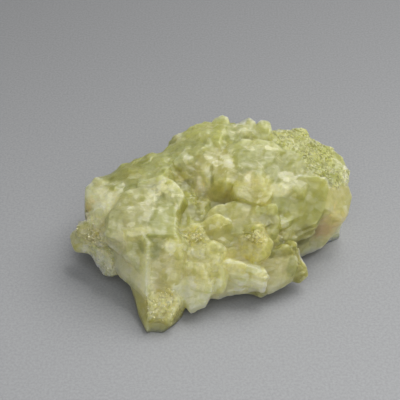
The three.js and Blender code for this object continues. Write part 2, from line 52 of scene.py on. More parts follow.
# ---------------- the crystals
# name, height of the top in its middle, its rise per mm east and north,
# (flare of the bevel, draw of the root towards the middle, height of the root), corners of the top in plan
CRYSTALS = [
    # left knob
    ("knob crown", 9.6, (0.75, 0.75), (0.3, 0.62, 1),
     [(-17, -5), (-14.5, -5.5), (-14.5, -3.5), (-17, -2), (-19, -2), (-19.5, -3)]),
    ("knob face", 6.2, (0.9, 2.6), (0, 0.62, 1),
     [(-17.5, -5), (-15.5, -6), (-13, -6.5), (-13, -5), (-17, -4), (-19.5, -3)]),
    ("knob lip", 6.6, (1.4, 0.9), (0, 0.6, 1.5),
     [(-20, -3.5), (-18.5, -4.5), (-18.5, -3), (-19, -1.5), (-20.5, -1.5)]),
    ("knob drop", 5.2, (0.6, 1.4), (0, 0.8, 2),
     [(-16, -5.5), (-15, -6.5), (-14, -6), (-14.5, -5)]),
    # left shoulder
    ("shoulder", 12.1, (0.5, 0.25), (0.25, 0.72, 0.8),
     [(-17, -1.5), (-14, -3.5), (-13, -1), (-14.5, 2), (-16.5, 3.5), (-18, 2.5), (-18, 0.5)]),
    ("shoulder step", 11.2, (0.9, 0.8), (0.9, 0.7, 1),
     [(-17, -2.5), (-14.5, -4.5), (-14.5, -2.5), (-16, -1.5), (-17.5, -1.5)]),
    ("shoulder flank", 8.8, (1.2, 0.2), (0, 0.78, 1),
     [(-18, -1), (-17, -2.5), (-16, 0), (-17, 3), (-18.5, 2.5)]),
    # rear slope, left to right
    ("rear left", 13.2, (0.3, -0.2), (0.7, 0.8, 1),
     [(-15.5, 1.5), (-13.5, 0.5), (-10, 3), (-10.5, 7), (-13, 6), (-16.5, 4)]),
    ("rear middle", 14.4, (0.25, -0.15), (0.9, 0.8, 0.8),
     [(-10.5, 0.5), (-7, 1.5), (-5, 5.5), (-6.5, 8.5), (-10.5, 7)]),
    ("rear right", 15.1, (0.35, -0.1), (0.9, 0.85, 0.8),
     [(-4.5, 4.5), (-2.5, 5.5), (-1, 9), (-3.5, 12), (-5.5, 10.5), (-7, 8.5)]),
    ("rear chip", 13.6, (0.5, -0.4), (0.7, 0.8, 1),
     [(-12, 4.5), (-9, 5.5), (-8.5, 8), (-11, 7.5)]),
    # plateau
    ("plateau left", 12.9, (0.1, 0.35), (0.7, 0.8, 0.8),
     [(-14.5, -4), (-14.5, -6), (-12, -7), (-9.5, -7.5), (-8.5, -4.5),
      (-8, -1), (-10, 0), (-12.5, -1)]),
    ("plateau right", 12.9, (0, 0.3), (0.15, 0.9, 0.8),
     [(-9, -7.5), (-5, -7.5), (-5, -4.5), (-5.5, -1.5), (-7.5, -0.5), (-9, -2)]),
    ("plateau back", 13.7, (0.1, 0.2), (0.9, 0.8, 0.8),
     [(-12.5, -1), (-8.5, -2), (-7, 0.5), (-8.5, 2.5), (-12.5, 2), (-14, 0.5)]),
    ("white knuckle", 13.9, (0.1, 0.5), (0.2, 0.9, 0.8),
     [(-7.5, -2.5), (-5, -3.5), (-4, -1.5), (-4.5, -0.5), (-6.5, 1), (-8.5, 0)]),
    # front slope down to the prong
    ("slope shelf", 10.1, (0, 1.3), (0.5, 0.85, 0.8),
     [(-12, -8.5), (-10, -10), (-7, -10.5), (-4.5, -9), (-5, -7), (-8.5, -6.5), (-12.5, -6.5)]),
    ("slope face", 7.9, (-0.05, 1.3), (0.5, 0.9, 0.8),
     [(-9.5, -12), (-5, -12), (-4, -10), (-4.5, -8), (-9.5, -8)]),
    ("slope flank", 7.9, (1.6, 1.35), (0, 0.85, 0.8),
     [(-11.5, -10), (-9, -13), (-8.8, -8.6), (-10.3, -6.2), (-14, -5.5), (-13.5, -7.5)]),
    ("prong", 4.3, (-0.1, 0.65), (0, 0.92, -1.2),
     [(-9, -15), (-6, -15), (-4.5, -13), (-5, -11), (-9, -11)]),
    ("prong flank", 3.2, (0.95, 0.95), (0, 0.96, -1.2),
     [(-9, -15.5), (-8.5, -14.5), (-9, -11), (-11.5, -9.5), (-10.5, -12.5)]),
    ("prong tip", 2, (0.2, 3.4), (0, 0.97, -1.2),
     [(-8.5, -15), (-7.5, -15.5), (-6, -14.5), (-6, -14), (-8.5, -14)]),
    # front middle
    ("front knuckle", 4.8, (0.1, 1.3), (0, 0.76, 1.8),
     [(-4, -12), (-3, -13), (-1, -12.5), (0, -11.5), (-1, -10.5), (-3, -10), (-5, -10.5)]),
    ("knuckle ridge", 6.8, (0.2, 1.2), (0.7, 0.8, 0.8),
     [(-2.5, -11), (-0.5, -11.5), (-0.5, -11), (-1.5, -9.5), (-3.5, -9)]),
    ("step upper", 10, (0, 0.7), (1, 0.8, 0.8),
     [(-4.5, -7.5), (-2, -7.5), (-1, -6.5), (-1.5, -4.5), (-5, -5)]),
    ("step middle", 8.8, (0, 0.85), (0.9, 0.8, 0.8),
     [(-2, -9.5), (0, -9.5), (1, -7.5), (0, -7), (-3, -7.5)]),
    ("step lower", 6.6, (0.05, 1.2), (0.9, 0.8, 2),
     [(-1, -11), (1, -11), (1.5, -9.5), (0.5, -8.5), (-1.5, -9)]),
    # cream ledge
    ("ledge top", 6.6, (0, 1.7), (0.3, 0.75, 1),
     [(4, -10), (7, -10.5), (7.5, -9.5), (5.5, -9), (2.5, -8.5), (1, -9)]),
    ("ledge face", 4.2, (-0.1, 1.1), (0, 0.6, 2),
     [(-0.5, -11), (1.5, -10.5), (3, -10), (6.5, -10), (7.5, -9.5), (4, -9), (1.5, -9)]),
    ("ledge foot", 3.2, (-0.15, 1.6), (0, 0.6, 2),
     [(3.5, -9.5), (5, -9.5), (7, -9.5), (8.5, -9), (7.5, -8.5)]),
    # front right block
    ("front right", 5.9, (-0.45, 1.8), (0, 0.66, 2),
     [(7, -8), (7, -9), (8, -9.5), (11.5, -8), (12.3, -7),
      (11.7, -6.2), (10.7, -5.9), (8.5, -6.8)]),
    ("front cheek", 5.6, (-1, 1.7), (0, 0.92, 2),
     [(10.8, -7.8), (12.6, -7.4), (13.7, -6.6), (13.2, -5.9), (11.8, -5), (11.2, -5.4)]),
    ("hollow", 7.6, (-0.05, 0.6), (0.8, 0.8, 1),
     [(2.5, -7.5), (5.5, -8.5), (7, -7.5), (5.5, -6.5), (3.5, -5), (1, -6)]),
    # pocket
    ("pocket floor", 10.1, (-0.1, 0), (0.8, 0.9, 0.8),
     [(-5, 0), (-4, -4.5), (-1, -4), (3, -1.5), (5.5, 1.5), (3, 4.5), (0, 5), (-3.5, 3.5)]),
    ("pocket lump", 11, (-0.15, 0.1), (0.7, 0.9, 0.8),
     [(-3.5, -1), (-1.5, -2), (-0.5, 0.5), (-1, 3), (-3.5, 2)]),
    ("pocket back", 13.2, (-0.25, 1.4), (1, 0.9, 0.8),
     [(-5.5, 3), (-4.5, 2), (-2.5, 2.5), (0, 3), (0.5, 4.5), (-2.5, 4.5)]),
    # centre block
    ("centre top", 11, (0.05, 0.45), (0.35, 0.85, 0.8),
     [(1.5, -5.5), (4, -5.5), (7, -5), (8.5, -4), (7, -2), (3.5, -1), (0.5, -1.5), (-1, -3)]),
    ("centre nose", 9.5, (0.05, 1), (0.7, 0.9, 0.8),
     [(4.6, -7), (6, -7.6), (7.4, -6.9), (7.9, -6), (7.2, -4.4), (4.4, -4.4), (3.9, -6)]),
    ("centre fin", 10.4, (-0.1, 1.3), (0.3, 0.92, 0.8),
     [(2, -6.8), (3.6, -6), (2.8, -4.2), (0.5, -3.8), (-1.6, -4.6), (-0.6, -6)]),
    ("centre right", 10.7, (-0.2, 0.65), (0.4, 0.85, 0.8),
     [(6.5, -5), (7.5, -5.8), (8.8, -4.8), (9.6, -3.2), (9, -1.5), (6, -2)]),
    # right lobe
    ("lobe brow", 13.2, (-0.1, 0.5), (0.15, 0.9, 0.8),
     [(3.5, -0.5), (5.5, -1.5), (7.5, -1.5), (9, 0.5), (7, 2.5), (4, 2), (3, 0.5)]),
    ("lobe face", 11.5, (-0.25, 0.95), (0, 0.7, 2),
     [(9.5, -2.5), (12, -3.4), (15, -2.2), (16.2, -0.5), (17, 2),
      (16.5, 2.8), (12, 2.5), (8.5, 1)]),
    ("lobe lip", 8.4, (-0.35, 0.9), (0, 0.6, 2),
     [(8.4, -5.8), (10.9, -4.7), (13.1, -3.4), (15, -2.2), (13, -1.5), (9.5, -3)]),
    ("lobe top", 14, (-0.2, 0.5), (0.9, 0.9, 0.8),
     [(4.5, 1.5), (7, 0), (11, 0.5), (16, 2), (14.5, 4.5), (11.5, 6.5), (7, 5)]),
    ("lobe bump", 13.5, (-0.1, 0.45), (0.9, 0.9, 0.8),
     [(10, 0.5), (12.5, 0.5), (13.5, 1.5), (11.5, 2.5), (9.5, 2)]),
    ("lobe recess", 8, (0, 0.6), (0.3, 1.06, 1.8),
     [(11, -2), (14, -0.8), (17, 1.5), (17.5, 4), (12.5, 3)]),
    ("lobe foot", 6, (-0.3, 0.3), (0, 1, -1.2),
     [(13, 0), (17.5, 2.5), (18, 6), (12, 7)]),
    # right rim
    ("rim strip", 11.9, (-0.5, 0.45), (0, 0.86, 0.8),
     [(16.5, 4), (17.5, 2.5), (20, 4.5), (20.5, 6), (19.5, 7)]),
    ("rim face", 9.6, (-1.2, 0.9), (0, 0.86, 2),
     [(16.5, -0.5), (19, 0), (20, 1.5), (20.5, 3.5), (20, 4.5), (16.5, 2)]),
    ("rim foot", 5.5, (-0.8, 0.4), (0, 0.97, -1.2),
     [(16.5, 3), (18.5, 3), (20, 4), (20, 7), (17, 7)]),
    # top
    ("saddle left", 15.1, (0.1, 0.5), (0.5, 0.9, 0.8),
     [(0.5, 1.6), (3.5, 1), (4, 4), (2, 6), (-1, 6), (-3, 4.5)]),
    ("saddle right", 15.9, (-0.05, 0.35), (1, 0.9, 0.8),
     [(4, 3), (7, 3), (10.5, 6), (8.5, 7.2), (4.5, 7.3), (2, 6)]),
    ("fold", 16, (0.1, 0.3), (0.9, 0.9, 0.8),
     [(-5, 4.5), (-3.5, 4), (-1.5, 5.5), (-1.5, 7), (-3.5, 6.5)]),
    ("small fin", 16.5, (-0.15, 0.35), (0.3, 0.9, 0.8),
     [(-1.5, 5.5), (0.5, 6), (-0.5, 8)]),
    # crest
    ("crest left", 16.1, (0.25, -0.1), (0.9, 0.85, 0.8),
     [(-1.5, 8), (1, 6.5), (2, 10), (-1, 12.5), (-3, 12), (-4.5, 10.5)]),
    ("crest knob", 16.75, (0.1, 0.45), (0, 0.92, 0.8),
     [(0.2, 11.5), (0.6, 10.4), (2.2, 10.2), (2.6, 11.6), (1.6, 12.4)]),
    ("crest middle", 16.6, (0, 0.05), (0.9, 0.9, 0.8),
     [(1.5, 8), (3, 7), (4, 9), (3.5, 11.5), (2, 11)]),
    ("crest block", 16.8, (0, 0.2), (0, 0.92, 0.8),
     [(3.2, 10.6), (4.4, 8.5), (6.2, 9.8), (6.6, 11), (5.4, 12)]),
    ("crest blade", 16.3, (0, 0.15), (0.3, 0.9, 0.8),
     [(5.5, 9.3), (7, 8.4), (8.3, 8.7), (8.4, 10.6), (6.5, 11.2), (5, 10.6)]),
    ("crest right", 16.7, (0, 0.2), (0, 0.92, 0.8),
     [(6.8, 9.7), (8.7, 9.5), (8.8, 10.6), (8.6, 11.6), (7, 11.5)]),
    ("crest grains", 15.7, (-0.1, 0), (0.3, 0.9, 0.8),
     [(8.5, 8), (10, 7.5), (12, 10), (11.5, 11.5), (10, 11.5), (9, 10.5)]),
    ("right crest", 15.1, (-0.3, 0), (0.3, 0.9, 0.8),
     [(10.5, 6.5), (13, 6), (15, 9.5), (14, 12), (12.5, 12), (11, 11)]),
    ("right grains", 13.8, (-0.35, 0.1), (0.3, 0.9, 0.8),
     [(13.5, 4.5), (15.5, 3.5), (18, 6), (18, 9.5), (16, 10.5), (13.5, 10.5)]),
    ("right shoulder", 12.7, (-0.4, 0.15), (0.2, 0.86, 0.8),
     [(17, 6), (18.5, 4.5), (20, 6.5), (19.5, 8.5), (18.5, 9), (17, 9.5)]),
    # back
    ("back left", 9.5, (0.1, -0.5), (0.9, 0.85, 0.8),
     [(-16, 4), (-9, 5), (-5, 9), (-6, 11), (-10.5, 10), (-16, 7)]),
    ("back ramp", 11.5, (0.3, -0.9), (0.9, 0.85, 0.8),
     [(-9, 6), (-4, 9), (-3, 12), (-6, 11.5), (-9.5, 9)]),
    ("back middle", 10, (0, -0.6), (0.9, 0.85, 0.8),
     [(-3, 9), (4, 10), (7, 12), (5, 14), (0, 14.5), (-4, 12.5)]),
    ("back wedge", 13, (-0.1, -1.1), (0.7, 0.85, 0.8),
     [(2, 11), (7, 11.5), (8, 13), (4.5, 14), (1.5, 13)]),
    ("back right", 9.4, (-0.15, -0.5), (0.9, 0.85, 0.8),
     [(8, 10), (15, 9), (19, 7.5), (18, 11), (13, 14), (8, 14.5)]),
    ("back corner", 11.6, (-0.4, -0.8), (0.7, 0.85, 0.8),
     [(12, 10.5), (16, 9.5), (17.5, 11), (14.5, 13), (12, 13)]),
    ("back step", 5.5, (0.05, -0.3), (0.5, 0.93, -1.2),
     [(-2, 11.5), (6, 11.5), (5, 14.5), (1, 15), (-2.5, 14)]),
    ("back heel", 4.8, (0.2, -0.2), (0.7, 0.93, -1.2),
     [(-14, 5), (-8, 8), (-9, 11), (-14, 9), (-15.5, 7)]),
    ("right flank", 8.4, (-0.9, 0), (0, 0.92, 0.8),
     [(17, 5), (20, 5), (19.5, 8.5), (17, 9.5)]),
    ("right heel", 4.6, (-0.2, -0.2), (0.3, 0.95, 0.8),
     [(14, 8), (18.5, 7.5), (18, 10.5), (13.5, 12)]),
    ("back chip", 7.2, (0.3, -0.8), (0.3, 0.9, 0.8),
     [(-10, 9), (-6, 11), (-5, 12.5), (-8.5, 11.5)]),
    ("back tooth", 7.6, (-0.2, -0.7), (0.3, 0.92, 0.8),
     [(6.5, 12.5), (10, 13), (10.5, 14.5), (7.5, 15)]),
    ("left heel", 5.6, (0.9, 0.1), (0, 0.9, 0.8),
     [(-17.5, 1), (-15.5, 0), (-15, 4), (-17, 5)]),
    ("middle foot", 6, (0, 0), (0, 0.95, -1.2),
     [(-4, -2), (3, -4), (8, 0), (6, 5), (-1, 6), (-5, 3)]),
    # ground mass under the crystals
    ("mass left", 11.2, (0.1, 0.25), (1, 0.75, 1.2),
     [(-17, -3), (-11, -8), (-5, -8.5), (-3, -4), (-4, 5), (-10, 5), (-16.5, 2.5)]),
    ("mass front", 5.4, (-0.1, 0.55), (0, 0.7, 1.2),
     [(-11, -9), (-8.5, -13), (-5, -12.5), (4, -9), (10, -7), (9, -4), (-4, -4), (-12, -6)]),
    ("mass back", 12.6, (0, -0.35), (0.4, 0.9, 1.2),
     [(-6, 9.5), (-2, 12.5), (8, 12.5), (14, 11.5), (17, 8), (8, 8), (-2, 8)]),
    ("mass middle", 9.5, (0, 0.2), (1, 0.75, 1.2),
     [(-6, -6), (2, -7), (9, -5), (9, 3), (4, 6), (-4, 4)]),
    ("mass right", 12, (-0.1, 0.25), (0.3, 0.76, 1.2),
     [(3, -0.5), (10, -3.5), (17, 0.5), (19, 5), (18, 9), (12, 11), (6, 8)]),
    ("mass top", 14.8, (0.05, 0.15), (1, 0.9, 1.2),
     [(-6, 5), (-2, 3.5), (4, 3), (9, 5.5), (9, 11), (2, 12), (-5, 11)]),
]
RIM = 1.0  # height of the bevel under a crystal's top edge
RIM_LOW, RIM_SPREAD = 0.7, 0.6  # the least share of it at a corner, and what chance adds
CROWN = 0.05  # how far the tip stands over the top, per mm of half width
TIP_OFF = 0.3  # how far the tip stands off the middle, per mm of half width
DROOP = 0.08  # how far a top corner may hang under it, per mm of half width
SEAT_LOW, SEAT_SPREAD = -0.6, 1.6  # the least height of a root corner over the root, and what chance adds

GRID = 127  # cells along one side of each of the six grids
HEART = np.array([0.0, 1.0, 5.5])  # middle of the flat core that the rays leave from
CORE = np.array([11.0, 7.5, 1.0])  # its half sizes
UPWARD = 0.22  # how far the rays lean upwards, so the underside gets fewer of them
SLIDES = 60  # rounds in which the points slide apart
REACH_OF_SNAP = 0.3  # neighbours further off than this have little pull on a point
HOLD = 0.03  # pull of the place where its ray put a point, per pull of the planes
FILL = ((60, 0.25), (14, 0.45), (5, 0.6))  # rounds of softening that show a valley, and the share filled
SHALLOW = 0.02  # valleys shallower than this stay

# Relief: size of its crystals, seed, how far their lean strays, and for splinters their half sizes and lean
BLOCKS = (4.2, 3, 0.8)
CHIPS = (1.7, 41, 1.0)
BEADS = (0.75, 83, 2.0)
SPLINTERS = (1.6, 131, 0.5, (2.0, 0.34, 0.26), (0.85, -0.45, 0.1))
FOOT = 1.2  # height over which the relief fades in


def spread(k, n):
    """A repeatable number from 0 to 1 for corner k of crystal n: the broken part of a very steep sine."""
    s = math.sin(k * 78.233 + n * 12.9898) * 43758.5453
    return s - math.floor(s)


def crystal_corners(row, n):
    """Top corners on a sloping plane, a tip over them, a bevel under them, and a root drawn in and lower."""
    _, top, (east, north), (flare, draw, seat), corners = row
    mx, my = np.mean(corners, axis=0)
    half = np.mean([math.hypot(x - mx, y - my) for x, y in corners])
    points = []
    for k, (x, y) in enumerate(corners):
        z = top + east * (x - mx) + north * (y - my) - DROOP * half * spread(k, n)
        out = flare * RIM / math.hypot(x - mx, y - my)
        points.append((x, y, z))
        low = z - RIM * (RIM_LOW + RIM_SPREAD * spread(k + 20, n))
        points.append((x + (x - mx) * out, y + (y - my) * out, low))
        points.append((x * draw, y * draw, seat + SEAT_LOW + SEAT_SPREAD * spread(k + 40, n)))
    turn = 2 * math.pi * spread(60, n)
    tx, ty = TIP_OFF * half * math.cos(turn), TIP_OFF * half * math.sin(turn)
    points.append((mx + tx, my + ty, top + east * tx + north * ty + CROWN * half))
    return np.array(points)


def hull_planes(points):
    """Every plane through three corners with all other corners behind it, as outward normals and offsets."""
    triples = np.array(list(itertools.combinations(range(len(points)), 3)))
    a, b, c = (points[triples[:, i]] for i in range(3))
    normal = np.cross(b - a, c - a)
    length = np.linalg.norm(normal, axis=1)
    normal = normal[length > 1e-6] / length[length > 1e-6, None]
    offset = (normal * a[length > 1e-6]).sum(1)
    side = normal @ points.T - offset[:, None]
    above, below = (side < 1e-6).all(1), (side > -1e-6).all(1)
    normal = np.concatenate([normal[above], -normal[below]])
    offset = np.concatenate([offset[above], -offset[below]])
    first = np.unique(np.round(np.c_[normal, offset], 4), axis=0, return_index=True)[1]
    return normal[first], offset[first]


def sphere_grid(n):
    """Six n by n grids, the tangent-spaced faces of a cube, brought to length one and joined at the seams."""
    side = np.tan(np.linspace(-1, 1, n + 1) * math.pi / 4)
    a, b = np.meshgrid(side, side, indexing="ij")
    one = np.ones_like(a)
    faces = [(one, a, b), (-one, b, a), (b, one, a), (a, -one, b), (a, b, one), (b, a, -one)]
    points = np.concatenate([np.stack(f, -1).reshape(-1, 3) for f in faces])
    points /= np.linalg.norm(points, axis=1, keepdims=True)
    index = np.arange((n + 1) ** 2).reshape(n + 1, n + 1)
    quad = np.stack([index[:-1, :-1], index[1:, :-1], index[1:, 1:], index[:-1, 1:]], -1).reshape(-1, 4)
    quads = np.concatenate([quad + k * (n + 1) ** 2 for k in range(6)])
    keys = np.round(points * 1e6).astype(np.int64)
    _, first, inverse = np.unique(keys, axis=0, return_index=True, return_inverse=True)
    return points[first], inverse.reshape(-1)[quads]


def reach(planes, start, ray):
    """How far each ray runs before it leaves the last crystal, which one that is, and the plane it leaves by.

    A ray is inside a crystal from its latest entry to its earliest exit over the crystal's planes. The reach
    is the largest exit over all crystals that the ray enters, and never below the floor.
    """
    far = np.full(len(start), 0.5)
    owner = np.zeros(len(start), int)
    wall = np.zeros((len(start), 4))
    with np.errstate(divide="ignore", invalid="ignore"):
        for n, (normal, offset) in enumerate(planes):
            facing = ray @ normal.T
            t = (offset - start @ normal.T) / facing
            out = np.where(facing > 1e-9, t, np.inf)
            last = out.argmin(1)
            leave = out[np.arange(len(out)), last]
            enter = np.where(facing < -1e-9, t, -np.inf).max(1)
            further = (leave > enter) & (leave > far)
            far[further] = leave[further]
            owner[further] = n
            wall[further, :3] = normal[last[further]]
            wall[further, 3] = offset[last[further]]
        floor = np.where(ray[:, 2] < 0, -start[:, 2] / ray[:, 2], np.inf)
    under = floor < far
    wall[under] = (0, 0, -1, 0)
    return np.minimum(far, floor), owner, wall


def snap(points, wall, pairs, firm):
    """Each point moves to where its own plane and its neighbours' planes meet, which keeps edges sharp.

    It is the point with the least sum of squared distances to those planes, held a little by where it was.
    """
    a, b = pairs[:, 0], pairs[:, 1]
    a, b = np.concatenate([a, b, np.arange(len(points))]), np.concatenate([b, a, np.arange(len(points))])
    gap = np.linalg.norm(points[a] - points[b], axis=1)
    weight = np.exp(-(gap / REACH_OF_SNAP) ** 2)
    normal, offset = wall[b, :3], wall[b, 3]
    count = len(points)
    square = np.zeros((count, 3, 3))
    for i, j in ((0, 0), (0, 1), (0, 2), (1, 1), (1, 2), (2, 2)):
        square[:, i, j] = square[:, j, i] = np.bincount(a, weight * normal[:, i] * normal[:, j], count)
    aim_at = np.stack([np.bincount(a, weight * normal[:, i] * offset, count) for i in range(3)], 1)
    hold = firm * np.bincount(a, weight, count)
    square[:, [0, 1, 2], [0, 1, 2]] += hold[:, None]
    moved = np.linalg.solve(square, (aim_at + hold[:, None] * points)[:, :, None])[:, :, 0] - points
    length = np.linalg.norm(moved, axis=1, keepdims=True)
    return points + moved * np.minimum(1, 0.6 * REACH_OF_SNAP / np.maximum(length, 1e-9))


def rays_through(points):
    """The rays from the core that pass through given points.

    A ray r leaves the core at HEART + r * CORE, so the point is HEART + r * (CORE + t). The t that gives r a
    length of one is found by halving a range.
    """
    away = points - HEART
    low, high = np.full(len(points), -0.9 * CORE.min()), np.full(len(points), 40.0)
    for _ in range(40):
        t = 0.5 * (low + high)
        inside = (((away / (CORE + t[:, None])) ** 2).sum(1) > 1)
        low, high = np.where(inside, t, low), np.where(inside, high, t)
    ray = away / (CORE + t[:, None])
    return ray / np.linalg.norm(ray, axis=1, keepdims=True)


def soften(value, edges, rounds):
    """Each point's value moves halfway to the mean of its neighbours, a number of times."""
    value = np.asarray(value, float)
    wide = value.reshape(len(value), -1)
    a, b = edges[:, 0], edges[:, 1]
    count = np.bincount(a, minlength=len(wide)) + np.bincount(b, minlength=len(wide))
    for _ in range(rounds):
        mean = np.stack([
            np.bincount(a, wide[b, i], len(wide)) + np.bincount(b, wide[a, i], len(wide))
            for i in range(wide.shape[1])
        ], 1) / count[:, None]
        wide = 0.5 * (wide + mean)
    return wide.reshape(value.shape)


def outward(points, quads):
    """Unit normals at the points: the mean of the crossed diagonals of the faces round each."""
    d = np.cross(points[quads[:, 2]] - points[quads[:, 0]], points[quads[:, 3]] - points[quads[:, 1]])
    total = np.stack([
        sum(np.bincount(quads[:, k], d[:, i], len(points)) for k in range(4)) for i in range(3)
    ], 1)
    return total / np.maximum(np.linalg.norm(total, axis=1, keepdims=True), 1e-12)


def even_out(points, edges, quads, rounds):
    """Points slide along the surface to the mean of their neighbours, so that steep walls get their share."""
    for _ in range(rounds):
        normal = outward(points, quads)
        shift = soften(points, edges, 1) - points
        points = points + shift - (shift * normal).sum(1)[:, None] * normal
    return points


def untangle(points, edges, quads, rounds):
    """Crumpled places are drawn smooth: points go to their neighbours' mean wherever a face leans back.

    A face leans back when it is turned by more than about 75 degrees from the surface round it.
    """
    for _ in range(rounds):
        face = np.cross(points[quads[:, 2]] - points[quads[:, 0]], points[quads[:, 3]] - points[quads[:, 1]])
        face /= np.maximum(np.linalg.norm(face, axis=1, keepdims=True), 1e-12)
        calm = outward(soften(points, edges, 6), quads)
        leaning = (face * (calm[quads[:, 0]] + calm[quads[:, 2]])).sum(1) < 0.5
        pull = np.zeros(len(points))
        pull[quads[leaning]] = 1.0
        pull = np.clip(2.5 * soften(pull, edges, 3), 0, 1)[:, None]
        points = points + 1.8 * pull * (soften(points, edges, 1) - points)
    return points


def unpleat(points, edges, rounds):
    """Irons out teeth from one point to the next: a step to the neighbours' mean, and such a step back."""
    for _ in range(rounds):
        points = soften(points, edges, 1)
        points = points - 1.06 * (soften(points, edges, 1) - points)
    return points


def scatter(cell, seed):
    """Repeatable numbers from 0 to 1 for whole-number cells: the broken part of a steep sine of their sum."""
    s = np.sin(cell @ np.array([127.1, 311.7, 74.7]) + seed * 19.19) * 43758.5453
    return s - np.floor(s)


def shards(points, size, seed, loose, slab=(1.0, 0.6, 0.45), lean=(0.3, 0.5, 1.0)):
    """Height of small angular crystals that stand in the surface, and which crystal each point lies in.

    Space is cut in cells of the given size. Each holds one box with sloping edges, its middle at random, its
    axes near the given lean and turned from it by up to `loose`. A point's depth in a box is its smallest
    distance to the box's planes, and the height is the greatest depth over the boxes round it.
    """
    p = points / size
    base = np.floor(p)
    best = np.zeros(len(p))
    which = np.zeros(len(p))
    lean = np.asarray(lean) / np.linalg.norm(lean)
    for step in itertools.product((-1, 0, 1), repeat=3):
        cell = base + step
        centre = cell + np.stack([scatter(cell, seed + i) for i in (1, 2, 3)], 1)
        away = p - centre
        one = lean + loose * (np.stack([scatter(cell, seed + i) for i in (4, 5, 6)], 1) - 0.5)
        one /= np.linalg.norm(one, axis=1, keepdims=True)
        across = np.stack([scatter(cell, seed + i) for i in (7, 8, 9)], 1) * loose + (1.0, 0.2, 0.1)
        two = np.cross(one, across)
        two /= np.linalg.norm(two, axis=1, keepdims=True)
        three = np.cross(one, two)
        u, v, w = (np.abs((away * axis).sum(1)) for axis in (one, two, three))
        big = 0.6 + 0.7 * scatter(cell, seed + 10)
        a, b, c = (k * big for k in slab)
        depth = np.minimum(np.minimum(a - u, b - v), c - w)
        depth = np.minimum(depth, 0.7 * (0.85 * (b + c) - v - w))
        depth = np.minimum(depth, 0.7 * (0.8 * (a + b) - u - v))
        higher = depth > best
        best = np.where(higher, depth, best)
        which = np.where(higher, scatter(cell, seed + 11), which)
    return best * size, which


def on_the_crystals(quads, edges, ray):
    """Where the rays leave the crystals, in mm, and which crystal each leaves.

    The first reach is softened and its points slide apart, new rays run through them, and their ends are
    snapped to the crystals' edges and smoothed where they crumple.
    """
    planes = [hull_planes(crystal_corners(row, n)) for n, row in enumerate(CRYSTALS)]
    pairs = np.concatenate([edges, quads[:, [0, 2]], quads[:, [1, 3]]])
    start = HEART + ray * CORE
    far, _, _ = reach(planes, start, ray)
    ray = rays_through(even_out(start + ray * soften(far, edges, 3)[:, None], edges, quads, SLIDES))
    start = HEART + ray * CORE
    far, owner, wall = reach(planes, start, ray)
    points = snap(start + ray * far[:, None], wall, pairs, HOLD)
    return unpleat(untangle(points, edges, quads, 16), edges, 3), owner


def fill_valleys(points, quads, edges):
    """Each point rises along its normal by a share of its depth under the softened stone. Returns both."""
    normal = outward(soften(points, edges, 4), quads)
    for rounds, share in FILL:
        valley = ((soften(points, edges, rounds) - points) * normal).sum(1)
        points = points + normal * (share * np.maximum(valley - SHALLOW, 0))[:, None]
        normal = outward(soften(points, edges, 4), quads)
    return points, normal


def bulge(points, quads, edges, rounds):
    """How deep each point lies under the softened stone: above 0 in hollows, below 0 on edges."""
    soft = soften(points, edges, rounds)
    return ((soft - points) * outward(soft, quads)).sum(1)


def stone_surface():
    """The whole stone: points (mm), faces, edges, and numbers at each point.

    The relief is the heights of blocks, chips, beads and splinters, each less its mean. The shares grow with
    the grain, the beads' with its cube, and the splinters' with the fibre. It fades out at the floor.
    The numbers are owner (which crystal), hollow and notch (wide and narrow depth), grain, chip and plate.
    """
    ray, quads = sphere_grid(GRID)
    ray[:, 2] += UPWARD * (1 - ray[:, 2] ** 2)
    ray /= np.linalg.norm(ray, axis=1, keepdims=True)
    sides = np.concatenate([quads[:, [0, 1]], quads[:, [1, 2]], quads[:, [2, 3]], quads[:, [3, 0]]])
    edges = np.unique(np.sort(sides, axis=1), axis=0)
    points, owner = on_the_crystals(quads, edges, ray)
    points, normal = fill_valleys(points, quads, edges)

    made = dict(owner=owner)
    grain = 0.8 * over_crystals(GRAIN, 0.35, made, edges, 4)
    for middle, sizes in DRUSES:
        grain = np.maximum(grain, patch(points, middle, sizes, scatter(np.round(points), 301)))
    fibre = over_crystals(FIBRE, 0.10, made, edges, 3)
    rough = grain * over_crystals(CALM, 1.0, made, edges, 4)
    block, plate = shards(points, *BLOCKS)
    shard, chip = shards(points, *CHIPS)
    bead, _ = shards(points, *BEADS)
    splinter, _ = shards(points, *SPLINTERS)
    lift = (0.10 + 0.5 * rough) * (block - block.mean()) + (0.04 + 0.6 * rough) * (shard - shard.mean())
    lift += 0.8 * (bead - bead.mean()) * rough ** 3
    lift += 0.9 * (splinter - splinter.mean()) * fibre
    points = points + normal * (lift * np.clip(points[:, 2] / FOOT, 0, 1))[:, None]
    points = untangle(points, edges, quads, 10)
    points[:, 2] = np.maximum(points[:, 2], 0)

    hollow, notch = (bulge(points, quads, edges, rounds) for rounds in (30, 5))
    made.update(hollow=hollow, notch=notch, grain=grain, chip=chip, plate=plate)
    return points, quads, edges, made


